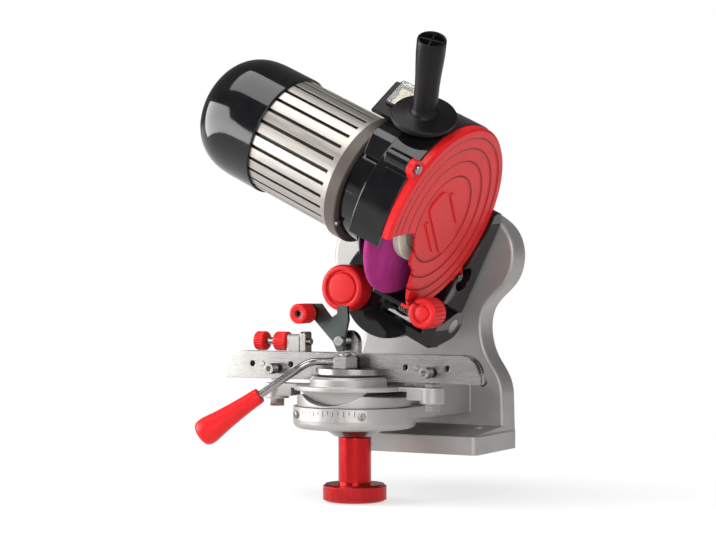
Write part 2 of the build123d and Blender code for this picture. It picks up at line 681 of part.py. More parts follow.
def neck_form(more):
    # round neck between the motor and the drum, or the same with some more all round
    slim, wide = NECK_R + more, NECK_WIDE_R + more
    return turned_x([(FLANGE_FRONT, 0), (FLANGE_FRONT, slim), (-14, slim), (DRUM_BACK, wide),
                     (DRUM_BACK + 1, wide), (DRUM_BACK + 1, 0)])


def guard_housing():
    drum = turned_x([(DRUM_BACK, 0), (DRUM_BACK, DRUM_R), (DRUM_FRONT, DRUM_R), (DRUM_FRONT, 0)])
    drum -= box(DRUM_BACK - 1, 60, -120, 3, -120, OPEN_Z)
    neck = neck_form(0)
    neck -= box(-13, 60, -120, 3, -120, OPEN_Z - 19)
    inside = turned_x([(DRUM_BACK + 5, 0), (DRUM_BACK + 5, DRUM_IN_R), (60, DRUM_IN_R), (60, 0)])
    bore = turned_x([(-40, 0), (-40, NECK_R - 6), (-18, NECK_R - 6), (-8, NECK_R - 22), (-8, SHAFT_R + 5),
                     (WHEEL_X + 3, SHAFT_R + 5), (WHEEL_X + 3, 0)])
    arm_face = hull([(11, HINGE_Y, HINGE_Z), (9, AXIS_Y + 64, AXIS_Z - 44), (7, AXIS_Y + 40, AXIS_Z - 68)])
    arm = plate_yz(arm_face, 15, DRUM_FRONT) + cyl_x(11, 15, 43, HINGE_Y, HINGE_Z)
    # spine behind the cover
    arm += plate_yz(hull([(12, HINGE_Y, HINGE_Z), (10, 97, 0), (9, 98, AXIS_Z + 1)]), 25, 42)
    # finger across below the cover for the depth stop
    arm += box(15, DEPTH_X + 6, 36.8, 41.8, DEPTH_Z - 6.5, DEPTH_Z + 6)
    arm += box(15, 24, 36.8, 56, DEPTH_Z - 4.5, DEPTH_Z + 6)
    arm -= AXIS * cyl_x(COVER_R + 0.8, DRUM_FRONT - 0.1, COVER_RIM + 0.5)
    y, z = polar(TAB_R, TAB_TURNS[1])
    arm -= AXIS * cyl_x(10.5, DRUM_FRONT - 0.1, 90, y, z)
    boss = radial(cyl_z(13, 60, HANDLE_SEAT - 0.1))
    body = AXIS * (drum + neck) + arm + boss + switch_seat(0, SEAT_X)
    for turn, deep in zip(TAB_TURNS, TAB_DEEP):
        y, z = polar(TAB_R, turn)
        y1, z1 = polar(DRUM_R - 5, turn)
        body += AXIS * plate_yz(hull([(6.5, y, z), (8, y1, z1)]), DRUM_FRONT - deep, DRUM_FRONT)
    body -= AXIS * (inside + bore)
    for turn in TAB_TURNS:
        y, z = polar(TAB_R, turn)
        body -= AXIS * cyl_x(2 + FIT, DRUM_FRONT - 8, DRUM_FRONT + 9, y, z)
    body -= cyl_x(BUSH_R + FIT, 0, 60, HINGE_Y, HINGE_Z)
    body -= cyl_y(3 + RUN, 20, 45, DEPTH_X, DEPTH_Z)
    return body


def hinge_bush():
    ring = cyl_x(BUSH_R, 15, 43, HINGE_Y, HINGE_Z)
    return ring - cyl_x(HINGE_R + RUN, 0, 60, HINGE_Y, HINGE_Z)


def depth_knob():
    # thumb screw; turned in, its tip meets the yoke and stops the head on its way down
    knob = plate_xz(ribbed_face(DEPTH_R, 22, 1.1), 18.4, 35) + cyl_y(DEPTH_R - 1.3, 17, 36.4)
    knob -= cyl_y(7.6, 16, 18.2) - cyl_y(5.6, 16, 18.2)
    return Pos(DEPTH_X, 0, DEPTH_Z) * (knob + cyl_y(3, 30, DEPTH_TIP))


def guard_cover():
    # rounded rim, then steps going in toward a flat middle
    floor = COVER_RIM - len(COVER_STEPS) * COVER_STEP
    outside = [(COVER_IN, 0), (COVER_IN, COVER_R), (COVER_RIM - 2, COVER_R), (COVER_RIM, COVER_R - 2)]
    for i, r in enumerate(COVER_STEPS):
        outside += [(COVER_RIM - i * COVER_STEP, r), (COVER_RIM - (i + 1) * COVER_STEP, r - 1.2)]
    shell = turned_x(outside + [(floor, 0)])
    shell -= turned_x([(0, 0), (0, DRUM_IN_R), (COVER_RIM - 2.5, DRUM_IN_R), (COVER_RIM - 2.5, COVER_STEPS[0]),
                       (floor - 2, COVER_STEPS[1]), (floor - 2, 0)])
    for turn in TAB_TURNS:
        y, z = polar(TAB_R, turn)
        y1, z1 = polar(COVER_R - 4, turn)
        tab = plate_yz(hull([(6.5, y, z), (8, y1, z1)]), COVER_IN, COVER_IN + 5)
        shell += tab - cyl_x(DRUM_IN_R + 1, 0, 60)
        shell -= cyl_x(2 + FIT, 0, 60, y, z)
    # opening in front over the wheel
    cut = [(-99, -20), (-77.5, -20.5), (-69.4, -15.2), (-51.5, -13.5), (-36.4, -12.6), (-24.3, -24),
           (-20.7, -39.2), (-10.6, -45.2), (-4.8, -68.9), (2, -74.5), (2, -99), (-99, -99)]
    shell -= plate_yz(polygon(cut), 0, 90)
    panel = extrude(RectangleRounded(62, 22, 6), 1.8)
    for s in (-1, 1):
        panel += Pos(0, s * 16, 0) * extrude(RectangleRounded(38, 4, 1.9), 1.8)
    place = Plane((floor - 0.6, 2, -3), x_dir=(0, 1, 0), z_dir=(1, 0, 0)).location
    panel = place * Rot(0, 0, 142) * panel - plate_yz(polygon(cut), 0, 90)
    return AXIS * (shell + panel)


def cover_screws():
    out = []
    for turn in TAB_TURNS:
        y, z = polar(TAB_R, turn)
        screw = cyl_x(2, DRUM_FRONT - 7, COVER_IN + 5.5, y, z)
        screw += cyl_x(3.6, COVER_IN + 5.1, COVER_IN + 7.6, y, z)
        screw -= box(COVER_IN + 6.6, 60, y - 0.45, y + 0.45, z - 5, z + 5)
        out.append(AXIS * screw)
    return group(out)


def grinding_wheel():
    half = WHEEL_THICK / 2
    wheel = turned_x([(-half, 0), (-half, WHEEL_R - 1.2), (-half + 1.2, WHEEL_R), (half - 1.2, WHEEL_R),
                      (half, WHEEL_R - 1.2), (half, 0)])
    return AXIS * (Pos(WHEEL_X, 0, 0) * (wheel - cyl_x(WHEEL_BORE_R, -9, 9)))


def inner_flange():
    half = WHEEL_THICK / 2
    flange = cyl_x(28, -7.4, -half - 0.02) + cyl_x(WHEEL_BORE_R - FIT, -half - 1, half)
    return AXIS * (Pos(WHEEL_X, 0, 0) * (flange - cyl_x(ARBOR_R + FIT, -20, 20)))


def outer_flange():
    half = WHEEL_THICK / 2
    flange = cyl_x(FLANGE_R, half + 0.02, 8.4)
    flange = fillet(flange.edges().filter_by(GeomType.CIRCLE).sort_by(Axis.X)[-1], 1.5)
    flange -= cyl_x(32, 7.2, 20) - cyl_x(15, 7.2, 20)
    return AXIS * (Pos(WHEEL_X, 0, 0) * (flange - cyl_x(ARBOR_R + FIT, -20, 20)))


def wheel_nut():
    nut = plate_yz(hex_face(19), WHEEL_X + 8.5, WHEEL_X + 14.5)
    return AXIS * (nut - cyl_x(ARBOR_R + FIT, 0, 60))


# Motor

def motor_flange():
    flange = cyl_x(MOTOR_FLANGE_R, FLANGE_BACK, FLANGE_FRONT - 0.1)
    flange = chamfer(flange.edges().filter_by(GeomType.CIRCLE), 0.8)
    flange -= cyl_x(BEARING_R + FIT, FLANGE_BACK + 2, 0)
    flange -= cyl_x(SHAFT_R + 1.5, -99, 0)
    for i in range(4):
        y, z = polar(FLANGE_SCREW_R, 45 + 90 * i)
        flange -= cyl_x(1.4 + FIT, FLANGE_BACK + 1, 0, y, z)
    return AXIS * flange


def flange_screws():
    out = []
    for i in range(4):
        y, z = polar(FLANGE_SCREW_R, 45 + 90 * i)
        screw = cyl_x(1.4, FLANGE_BACK + 1.5, FLANGE_FRONT + 1, y, z)
        screw += cyl_x(2.4, FLANGE_FRONT, FLANGE_FRONT + 2.4, y, z)
        screw -= box(FLANGE_FRONT + 1.6, FLANGE_FRONT + 4, y - 0.4, y + 0.4, z - 4, z + 4)
        out.append(AXIS * screw)
    return group(out)


def motor_case():
    case = cyl_x(CASE_R, CASE_BACK, FLANGE_BACK - 0.1) - cyl_x(CASE_IN_R, CASE_BACK - 1, 0)
    slot = box(CASE_BACK - 1, FLANGE_BACK - 6, -1.4, 1.4, CASE_R - 2.4, CASE_R + 2)
    for i in range(CASE_SLOTS):
        case -= Rot(360 / CASE_SLOTS * i, 0, 0) * slot
    return AXIS * case


def motor_cap():
    lip = CASE_BACK + 4
    wall = CAP_R - CAP_WALL
    seat = CASE_R + FIT
    end = CASE_BACK - CAP_LONG
    straight = end + CAP_DOME
    def dome(last, r):
        # squared-off half oval from the straight part to the end of the cap
        out = []
        for turn in (12, 26, 40, 54, 67, 78, 86):
            a = math.radians(turn)
            out.append((straight + (last - straight) * math.sin(a) ** 0.77, r * math.cos(a) ** 0.77))
        return out
    outside = [(lip, seat), (lip, CAP_R), (straight, CAP_R)] + dome(end, CAP_R) + [(end, 0)]
    inside = [(end + CAP_WALL, 0)] + dome(end + CAP_WALL, wall)[::-1]
    inside += [(straight, wall), (CASE_BACK - 0.1, wall), (CASE_BACK - 0.1, seat)]
    return AXIS * turned_x(outside + inside)


def stator_core():
    core = cyl_x(CASE_IN_R - FIT, CORE_BACK, CORE_FRONT) - cyl_x(CORE_BORE_R, CORE_BACK - 1, 0)
    for i in range(12):
        slot = box(CORE_BACK - 1, 0, -2.2, 2.2, CORE_BORE_R + 3, CASE_IN_R - 5.5)
        core -= Rot(30 * i, 0, 0) * slot
    return AXIS * core


def rear_shield():
    shield = cyl_x(CASE_IN_R - FIT, CASE_BACK + 0.5, CASE_BACK + 8)
    shield += cyl_x(REAR_BEARING_R + 6, CASE_BACK - 6, CASE_BACK + 1)
    shield -= cyl_x(REAR_BEARING_R + FIT, CASE_BACK - 4, 0)
    shield -= cyl_x(SHAFT_R + 1.5, CASE_BACK - 20, 0)
    for i in range(6):
        y, z = polar(CASE_IN_R - 12.5, 60 * i)
        shield -= cyl_x(6, CASE_BACK - 20, 0, y, z)
    return AXIS * shield


def bearings():
    front = cyl_x(BEARING_R, FLANGE_BACK + 2, FLANGE_FRONT - 0.1) - cyl_x(SHAFT_R + RUN, -99, 0)
    rear = cyl_x(REAR_BEARING_R, CASE_BACK - 4, CASE_BACK + 6) - cyl_x(SHAFT_R + RUN, CASE_BACK - 9, -50)
    return group([AXIS * front, AXIS * rear])


def rotor():
    shaft = cyl_x(SHAFT_R, FAN_BACK - 1, WHEEL_X - 7.5) + cyl_x(ARBOR_R, WHEEL_X - 8, WHEEL_X + 15.2)
    r = CORE_BORE_R - 0.6
    core = cyl_x(r, CORE_BACK + 1, CORE_FRONT - 1)
    for i in range(16):
        core -= Rot(22.5 * i, 0, 0) * box(CORE_BACK, 0, -1, 1, r - 2.4, r + 3)
    return AXIS * (shaft + core)


def cooling_fan():
    fan = cyl_x(SHAFT_R + 4, FAN_BACK, FAN_FRONT) + cyl_x(FAN_R, FAN_FRONT - 2, FAN_FRONT)
    for i in range(9):
        fan += Rot(40 * i, 0, 0) * box(FAN_BACK + 4, FAN_FRONT - 1, -0.9, 0.9, SHAFT_R + 2, FAN_R - 0.5)
    return AXIS * (fan - cyl_x(SHAFT_R + FIT, FAN_BACK - 9, 0))


# Handle and switch

def handle():
    low = HANDLE_SEAT
    top = HANDLE_TOP
    grip = turned_z([(0, low), (25, low), (25, low + 3.6), (23.5, low + 5), (13, low + 6), (9.3, low + 9),
                     (9.3, low + 30), (11, low + 56), (11, top - 1), (10.2, top), (0, top)])
    # hollow end with a cross of ribs
    grip -= cyl_z(9, top - 9, top + 9)
    for turn in (0, 90):
        grip += Rot(0, 0, turn) * box(-9.2, 9.2, -0.9, 0.9, top - 9.5, top - 0.6)
    return radial(grip)


def switch_box():
    # leaning box with its underside on the seat, open at the face for the switch frame
    shell = box(-BOX_HALF, BOX_HALF, 0, BOX_DEEP, 0, BOX_TALL)
    shell = fillet(shell.edges().filter_by(Axis.Z), 3)
    shell = fillet(shell.faces().sort_by(Axis.Z)[-1].edges(), 1.5)
    half = BOX_HALF - BOX_WALL
    inner = box(-half, half, BOX_WALL, BOX_DEEP - BOX_WALL, -9, BOX_TALL - BOX_WALL)
    for s in (-1, 1):
        # lugs with the pins of the flap
        x = sorted((s * (FLAP_HALF + 0.3), s * (FLAP_HALF + 2.3)))
        shell += box(*x, FLAP_Y - 1.2, 0.5, FLAP_Z - 1.3, FLAP_Z + 1)
        shell += cyl_x(FLAP_PIN_R, *sorted((s * (FLAP_HALF - 2), s * (FLAP_HALF + 1))), FLAP_Y, FLAP_Z)
    body = SWITCH * shell + cyl_y(GLAND_R + 2.5, GLAND_Y - 16, GLAND_Y, GLAND_X, GLAND_Z)
    body -= switch_seat(0.1, (-99, 20)) + AXIS * neck_form(0.2)
    body -= SWITCH * inner - switch_seat(BOX_WALL, (-99, 20)) - AXIS * neck_form(BOX_WALL)
    hole = ROCKER_HALF + 2
    body -= SWITCH * box(-10, 10, -1, 8.1, ROCKER_Z - hole, ROCKER_Z + hole)
    return body - cyl_y(GLAND_R + 0.1, GLAND_Y - 18, GLAND_Y + 1, GLAND_X, GLAND_Z)


def switch_frame():
    # bezel with the pivot of the rocker
    hole = ROCKER_HALF + 2 - FIT
    frame = box(-11, 11, -1.5, -0.05, ROCKER_Z - hole - 0.8, ROCKER_Z + hole + 0.8)
    frame += box(-10 + FIT, 10 - FIT, -1, 8, ROCKER_Z - hole, ROCKER_Z + hole)
    frame -= box(-8, 8, -5, 7, ROCKER_Z - ROCKER_HALF - 0.8, ROCKER_Z + ROCKER_HALF + 0.8)
    return SWITCH * (frame + cyl_x(1.2, -9, 9, ROCKER_Y, ROCKER_Z))


def switch_rocker():
    h = ROCKER_HALF
    face = polygon([(-2.4, h), (-0.4, 0), (-1, -h), (ROCKER_Y, 1 - h), (6, -3), (6, 3), (ROCKER_Y, h - 1)])
    rocker = plate_yz(face, -7.6, 7.6) - cyl_x(1.2 + RUN, -20, 20, ROCKER_Y, 0)
    return SWITCH * Pos(0, 0, ROCKER_Z) * rocker


def switch_flap():
    # clear flap over the rocker, turning on two pins at its top edge
    flap = box(-FLAP_HALF, FLAP_HALF, -5.4, -4, ROCKER_Z - 10, FLAP_Z + 0.8)
    flap += box(-FLAP_HALF, FLAP_HALF, -5.4, FLAP_Y, FLAP_Z - 0.9, FLAP_Z + 0.8)
    flap += cyl_x(1.4, -FLAP_HALF, FLAP_HALF, FLAP_Y, FLAP_Z)
    for s in (-1, 1):
        ends = sorted((s * (FLAP_HALF - 2.2), s * (FLAP_HALF + 1)))
        flap -= cyl_x(FLAP_PIN_R + RUN, *ends, FLAP_Y, FLAP_Z)
    return SWITCH * flap


def cable_gland():
    y = GLAND_Y
    gland = plate_xz(hex_face(13), y + 0.1, y + 4) + cyl_y(GLAND_R + 0.4, y + 3, y + 9)
    gland += cyl_y(GLAND_R, y - 3, y + 1)
    return Pos(GLAND_X, 0, GLAND_Z) * (gland - cyl_y(GLAND_BORE_R, y - 9, y + 30))


IN_VISE_FRAME = [
    base_casting, scale_plate, scale_screws, vise_turntable, lock_stud, vise_body, rear_jaw, front_jaw,
    jaw_dowels, guide_screws, jaw_screws, rail_screws, rail_nuts, clamp_shoe, lever_pivot, lever_hub,
    lever_rod, lever_grip, lock_washer, vise_lock_knob, stop_bracket, stop_carriage, stop_rod,
    stop_adjust_knob, stop_lock_knob, stop_pawl, stop_pin, stop_knob,
]
IN_HEAD_FRAME = [
    tilt_yoke, tilt_lock_stud, tilt_lock_nut, tilt_lock_knob, tilt_pivot_bolt, tilt_pivot_nut, hinge_pin,
    return_spring, guard_housing, hinge_bush, depth_knob, guard_cover, cover_screws, grinding_wheel,
    inner_flange, outer_flange, wheel_nut, motor_flange, flange_screws, motor_case, motor_cap, stator_core,
    rear_shield, bearings, rotor, cooling_fan, handle, switch_box, switch_frame, switch_rocker, switch_flap,
    cable_gland,
]

os.makedirs("parts", exist_ok=True)
for maker in IN_VISE_FRAME:
    save(maker.__name__, maker(), WORLD)
for maker in IN_HEAD_FRAME:
    save(maker.__name__, maker(), HEAD)
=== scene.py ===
import bpy
import json
import math
from mathutils import Matrix, Vector


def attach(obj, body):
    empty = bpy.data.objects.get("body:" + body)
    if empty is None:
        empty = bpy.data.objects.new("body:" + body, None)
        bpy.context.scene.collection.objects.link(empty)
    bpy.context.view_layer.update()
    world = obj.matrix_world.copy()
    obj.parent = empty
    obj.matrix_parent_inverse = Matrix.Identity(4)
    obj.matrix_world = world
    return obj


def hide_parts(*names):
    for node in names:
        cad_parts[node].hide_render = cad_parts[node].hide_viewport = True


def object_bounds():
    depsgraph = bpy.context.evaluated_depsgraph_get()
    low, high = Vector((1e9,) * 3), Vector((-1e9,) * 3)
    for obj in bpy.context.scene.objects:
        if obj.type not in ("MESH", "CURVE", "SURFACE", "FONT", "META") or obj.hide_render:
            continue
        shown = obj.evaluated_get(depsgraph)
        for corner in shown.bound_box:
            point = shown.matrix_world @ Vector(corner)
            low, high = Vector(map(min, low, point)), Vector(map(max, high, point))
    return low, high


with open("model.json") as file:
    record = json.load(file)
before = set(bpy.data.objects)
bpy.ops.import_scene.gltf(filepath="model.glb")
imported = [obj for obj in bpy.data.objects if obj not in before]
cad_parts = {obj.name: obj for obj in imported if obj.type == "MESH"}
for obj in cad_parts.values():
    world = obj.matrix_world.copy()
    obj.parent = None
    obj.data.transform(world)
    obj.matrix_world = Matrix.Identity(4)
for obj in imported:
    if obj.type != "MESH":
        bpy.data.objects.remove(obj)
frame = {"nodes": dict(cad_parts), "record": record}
cad_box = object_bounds()
nodes = frame["nodes"]

MM = 0.001

# The head's own frame: x along the motor shaft, y back, z up, origin on the tilt axis
TILT = math.radians(26)
HEAD = Matrix.Translation((0.002, -0.098, 0.131)) @ Matrix.Rotation(TILT, 4, "Y")
WHEEL_AXIS = Vector((0, 0.017, 0.0775))
WHEEL_LINE = HEAD @ Matrix.Translation(WHEEL_AXIS)

# The vise's frame: X right, Y back, Z up from the rail top, origin on the swivel axis
VISE_AXIS = Vector((0, -0.098, 0))
VISE = Matrix.Translation(VISE_AXIS + Vector((0, 0, 0.081)))


# Finishes

RED = (0.58, 0.010, 0.012)
# lighter red for edges: partly wear, partly painted edge highlight
EDGE_WEAR_AND_HIGHLIGHT_RED = (0.70, 0.040, 0.040)
# painted shade: deep red drawn along the wheel cover's ring steps
STEP_SHADE_RED = (0.20, 0.004, 0.005)
COVER_EDGE = 77.0                   # radius of the wheel cover and of the rings on it, mm
COVER_RINGS = (36, 49, 60, 69)
COVER_FACE = (0.030, 0.046)         # where the cover lies along the motor shaft
RIB_SLOPE = (0.0462, 0.0476)        # distance from the motor axis: slot wall, rib top
SCALE_FACE = (0.04865, 0.04878)     # distance from the swivel axis: engraved line, plate face
OFF, ON = (0, 0, 0), (1, 1, 1)


def blank_finish(name, colour, metal, rough):
    mat = bpy.data.materials.new(name)
    mat.use_nodes = True
    shader = mat.node_tree.nodes["Principled BSDF"]
    shader.inputs["Base Color"].default_value = (*colour, 1)
    shader.inputs["Metallic"].default_value = metal
    shader.inputs["Roughness"].default_value = rough
    mat.diffuse_color = (*colour, 1)
    return mat


def node(mat, kind, **inputs):
    made = mat.node_tree.nodes.new(kind)
    for key, value in inputs.items():
        made.inputs[key.replace("_", " ")].default_value = value
    return made


def link(mat, out, into):
    mat.node_tree.links.new(out, into)


def shader_of(mat):
    return mat.node_tree.nodes["Principled BSDF"]


def place(mat, scale=(1, 1, 1)):
    # the piece's own coordinates, stretched
    coords = node(mat, "ShaderNodeTexCoord")
    mapping = node(mat, "ShaderNodeMapping", Scale=scale)
    link(mat, coords.outputs["Object"], mapping.inputs["Vector"])
    return mapping.outputs["Vector"]


def noise(mat, at, scale, detail):
    made = node(mat, "ShaderNodeTexNoise", Scale=scale, Detail=detail, Roughness=0.55)
    link(mat, at, made.inputs["Vector"])
    return made.outputs["Fac"]


def ramp(mat, value, stops):
    made = node(mat, "ShaderNodeValToRGB")
    link(mat, value, made.inputs["Fac"])
    points = made.color_ramp.elements
    while len(points) < len(stops):
        points.new(0.5)
    for point, (pos, colour) in zip(points, stops):
        point.position = pos
        point.color = (*colour, 1)
    return made.outputs["Color"]


def spread(mat, value, low, high, to_low, to_high):
    made = node(mat, "ShaderNodeMapRange")
    for key, number in (("From Min", low), ("From Max", high), ("To Min", to_low), ("To Max", to_high)):
        made.inputs[key].default_value = number
    link(mat, value, made.inputs["Value"])
    return made.outputs["Result"]


def blend_colour(mat, fac, a, b):
    made = mat.node_tree.nodes.new("ShaderNodeMix")
    made.data_type = "RGBA"
    link(mat, fac, made.inputs["Factor"])
    for socket, value in ((made.inputs[6], a), (made.inputs[7], b)):
        if isinstance(value, tuple):
            socket.default_value = (*value, 1)
        else:
            link(mat, value, socket)
    return made.outputs[2]


def bump(mat, height, depth, strength, under=None):
    made = node(mat, "ShaderNodeBump", Strength=strength, Distance=depth)
    link(mat, height, made.inputs["Height"])
    if under is not None:
        link(mat, under, made.inputs["Normal"])
    return made.outputs["Normal"]


def soft_edges(mat, radius):
    made = mat.node_tree.nodes.new("ShaderNodeBevel")
    made.samples = 6
    made.inputs["Radius"].default_value = radius
    return made.outputs["Normal"]


def edge_mask(mat, rounded, low=0.02, high=0.22):
    # bright where the rounded normal leaves the flat one, so along edges only
    geometry = node(mat, "ShaderNodeNewGeometry")
    dot = mat.node_tree.nodes.new("ShaderNodeVectorMath")
    dot.operation = "DOT_PRODUCT"
    link(mat, rounded, dot.inputs[0])
    link(mat, geometry.outputs["Normal"], dot.inputs[1])
    return spread(mat, dot.outputs["Value"], 1 - low, 1 - high, 0, 1)


def from_axis(mat, centre, tilt, across):
    # place seen along an axis through the centre, and the distance from that axis
    coords = node(mat, "ShaderNodeTexCoord")
    mapping = node(mat, "ShaderNodeMapping", Location=tuple(-centre))
    link(mat, coords.outputs["Object"], mapping.inputs["Vector"])
    turn = mat.node_tree.nodes.new("ShaderNodeVectorRotate")
    turn.rotation_type = "Y_AXIS"
    turn.inputs["Angle"].default_value = -tilt
    link(mat, mapping.outputs["Vector"], turn.inputs["Vector"])
    flat = scaled(mat, turn.outputs["Vector"], across)
    far = mat.node_tree.nodes.new("ShaderNodeVectorMath")
    far.operation = "LENGTH"
    link(mat, flat, far.inputs[0])
    return turn.outputs["Vector"], far.outputs["Value"]


def scaled(mat, vector, factors):
    made = mat.node_tree.nodes.new("ShaderNodeVectorMath")
    made.operation = "MULTIPLY"
    made.inputs[1].default_value = factors
    link(mat, vector, made.inputs[0])
    return made.outputs["Vector"]


def cast_alloy():
    mat = blank_finish("cast_alloy", (0.31, 0.299, 0.287), 0.55, 0.42)
    at = place(mat)
    cloud = noise(mat, at, 22, 4)
    grain = noise(mat, at, 1500, 2)
    tone = ramp(mat, cloud, [(0.3, (0.28, 0.27, 0.26)), (0.7, (0.34, 0.328, 0.315))])
    rounded = soft_edges(mat, 0.0014)
    edge_wear_and_highlight = edge_mask(mat, rounded)
    # edges lightened towards pale grey: partly wear, partly painted edge highlight
    link(mat, blend_colour(mat, edge_wear_and_highlight, tone, (0.60, 0.58, 0.56)), shader_of(mat).inputs["Base Color"])
    link(mat, spread(mat, grain, 0.3, 0.7, 0.36, 0.48), shader_of(mat).inputs["Roughness"])
    link(mat, bump(mat, grain, 0.00012, 0.35, rounded), shader_of(mat).inputs["Normal"])
    return mat


def brushed_steel(name, colour, rough, along=(60, 1200, 1200)):
    mat = blank_finish(name, colour, 1.0, rough)
    at = place(mat, scale=along)
    streak = noise(mat, at, 1.0, 3)
    cloud = noise(mat, place(mat), 45, 3)
    dark = tuple(0.80 * c for c in colour)
    tone = ramp(mat, cloud, [(0.3, dark), (0.7, colour)])
    rounded = soft_edges(mat, 0.0006)
    uneven = spread(mat, streak, 0.25, 0.75, rough - 0.07, rough + 0.09)
    link(mat, tone, shader_of(mat).inputs["Base Color"])
    link(mat, uneven, shader_of(mat).inputs["Roughness"])
    link(mat, bump(mat, streak, 0.00004, 0.12, rounded), shader_of(mat).inputs["Normal"])
    return mat


def scale_alloy():
    # satin plate, drawn near black at the bottom of its engraved lines
    mat = blank_finish("scale_alloy", (0.42, 0.41, 0.39), 0.8, 0.36)
    _, far = from_axis(mat, VISE_AXIS, 0, (1, 1, 0))
    face = spread(mat, far, *SCALE_FACE, 0, 1)
    streak = noise(mat, place(mat, scale=(1200, 1200, 50)), 1.0, 2)
    tone = ramp(mat, streak, [(0.3, (0.36, 0.35, 0.335)), (0.7, (0.46, 0.45, 0.43))])
    rounded = soft_edges(mat, 0.0003)
    link(mat, blend_colour(mat, face, (0.03, 0.03, 0.03), tone), shader_of(mat).inputs["Base Color"])
    link(mat, spread(mat, streak, 0.3, 0.7, 0.30, 0.42), shader_of(mat).inputs["Roughness"])
    link(mat, bump(mat, streak, 0.00004, 0.3, rounded), shader_of(mat).inputs["Normal"])
    return mat


def gloss_black():
    mat = blank_finish("gloss_black", (0.004, 0.004, 0.005), 0.0, 0.08)
    shader = shader_of(mat)
    shader.inputs["Specular IOR Level"].default_value = 0.4
    at = place(mat)
    peel = noise(mat, at, 260, 1)
    dust = noise(mat, at, 60, 5)
    rounded = soft_edges(mat, 0.0012)
    edge_wear_and_highlight = edge_mask(mat, rounded, 0.04, 0.30)
    tone = ramp(mat, dust, [(0.35, (0.003, 0.003, 0.004)), (0.75, (0.007, 0.0065, 0.0065))])
    # edges lightened towards dark grey: partly wear, partly painted edge highlight
    link(mat, blend_colour(mat, edge_wear_and_highlight, tone, (0.022, 0.021, 0.020)), shader.inputs["Base Color"])
    link(mat, spread(mat, dust, 0.3, 0.7, 0.04, 0.11), shader.inputs["Roughness"])
    link(mat, bump(mat, peel, 0.0002, 0.05, rounded), shader.inputs["Normal"])
    return mat


def satin_plastic(name, colour, rough, edge_wear_and_highlight_colour, gloss=0.2):
    mat = blank_finish(name, colour, 0.0, rough)
    shader_of(mat).inputs["Specular IOR Level"].default_value = gloss
    at = place(mat)
    cloud = noise(mat, at, 35, 3)
    grain = noise(mat, at, 900, 2)
    dark = tuple(0.86 * c for c in colour)
    tone = ramp(mat, cloud, [(0.3, dark), (0.7, colour)])
    rounded = soft_edges(mat, 0.0008)
    edge_wear_and_highlight = edge_mask(mat, rounded, 0.03, 0.28)
    uneven = spread(mat, grain, 0.3, 0.7, rough - 0.06, rough + 0.08)
    # edges lightened towards the given edge colour: partly wear, partly painted edge highlight
    link(mat, blend_colour(mat, edge_wear_and_highlight, tone, edge_wear_and_highlight_colour), shader_of(mat).inputs["Base Color"])
    link(mat, uneven, shader_of(mat).inputs["Roughness"])
    link(mat, bump(mat, grain, 0.00008, 0.10, rounded), shader_of(mat).inputs["Normal"])
    return mat


def red_moulding():
    # red plastic; on the wheel cover its rings get painted shade in dark bands, with a shallow bump,
    # like the steps they stand for
    mat = satin_plastic("red_plastic", RED, 0.32, EDGE_WEAR_AND_HIGHLIGHT_RED)
    local, far = from_axis(mat, HEAD @ WHEEL_AXIS, TILT, (0, 1, 1))
    split = node(mat, "ShaderNodeSeparateXYZ")
    link(mat, local, split.inputs["Vector"])
    on_cover = ramp(mat, spread(mat, split.outputs["X"], *COVER_FACE, 0, 1),
                    [(0.0, OFF), (0.01, ON), (0.98, ON), (1.0, OFF)])
    # painted shade: a dark band at each ring's radius, where the step would shade the cover
    stops = [(0, OFF)]
    for radius in COVER_RINGS:
        at = radius / COVER_EDGE
        stops += [(at - 0.012, OFF), (at, ON), (at + 0.004, ON), (at + 0.016, OFF)]
    rings = ramp(mat, spread(mat, far, 0, COVER_EDGE * MM, 0, 1), stops)
    ring_step_shade_and_dent = mat.node_tree.nodes.new("ShaderNodeMath")
    ring_step_shade_and_dent.operation = "MULTIPLY"
    link(mat, rings, ring_step_shade_and_dent.inputs[0])
    link(mat, on_cover, ring_step_shade_and_dent.inputs[1])
    shader = shader_of(mat)
    tone = shader.inputs["Base Color"].links[0].from_socket
    # painted shade: the cover's ring bands darken the red towards a deep red
    step_shaded_red = blend_colour(mat, ring_step_shade_and_dent.outputs["Value"], tone, STEP_SHADE_RED)
    link(mat, step_shaded_red, shader.inputs["Base Color"])
    under = shader.inputs["Normal"].links[0].from_socket
    lower = mat.node_tree.nodes.new("ShaderNodeMath")
    lower.operation = "MULTIPLY"
    lower.inputs[1].default_value = -1
    link(mat, ring_step_shade_and_dent.outputs["Value"], lower.inputs[0])
    link(mat, bump(mat, lower.outputs["Value"], 0.0012, 0.8, under), shader.inputs["Normal"])
    return mat


def red_anodised():
    mat = blank_finish("red_anodised", (0.42, 0.012, 0.014), 0.9, 0.24)
    lathe = noise(mat, place(mat, scale=(900, 900, 60)), 1.0, 2)
    cloud = noise(mat, place(mat), 40, 3)
    tone = ramp(mat, cloud, [(0.3, (0.36, 0.009, 0.011)), (0.7, (0.46, 0.014, 0.016))])
    rounded = soft_edges(mat, 0.0007)
    edge_wear_and_highlight = edge_mask(mat, rounded)
    # edges lightened towards bright red: partly wear, partly painted edge highlight
    link(mat, blend_colour(mat, edge_wear_and_highlight, tone, (0.80, 0.12, 0.12)), shader_of(mat).inputs["Base Color"])
    link(mat, spread(mat, lathe, 0.3, 0.7, 0.17, 0.29), shader_of(mat).inputs["Roughness"])
    link(mat, bump(mat, lathe, 0.00004, 0.25, rounded), shader_of(mat).inputs["Normal"])
    return mat


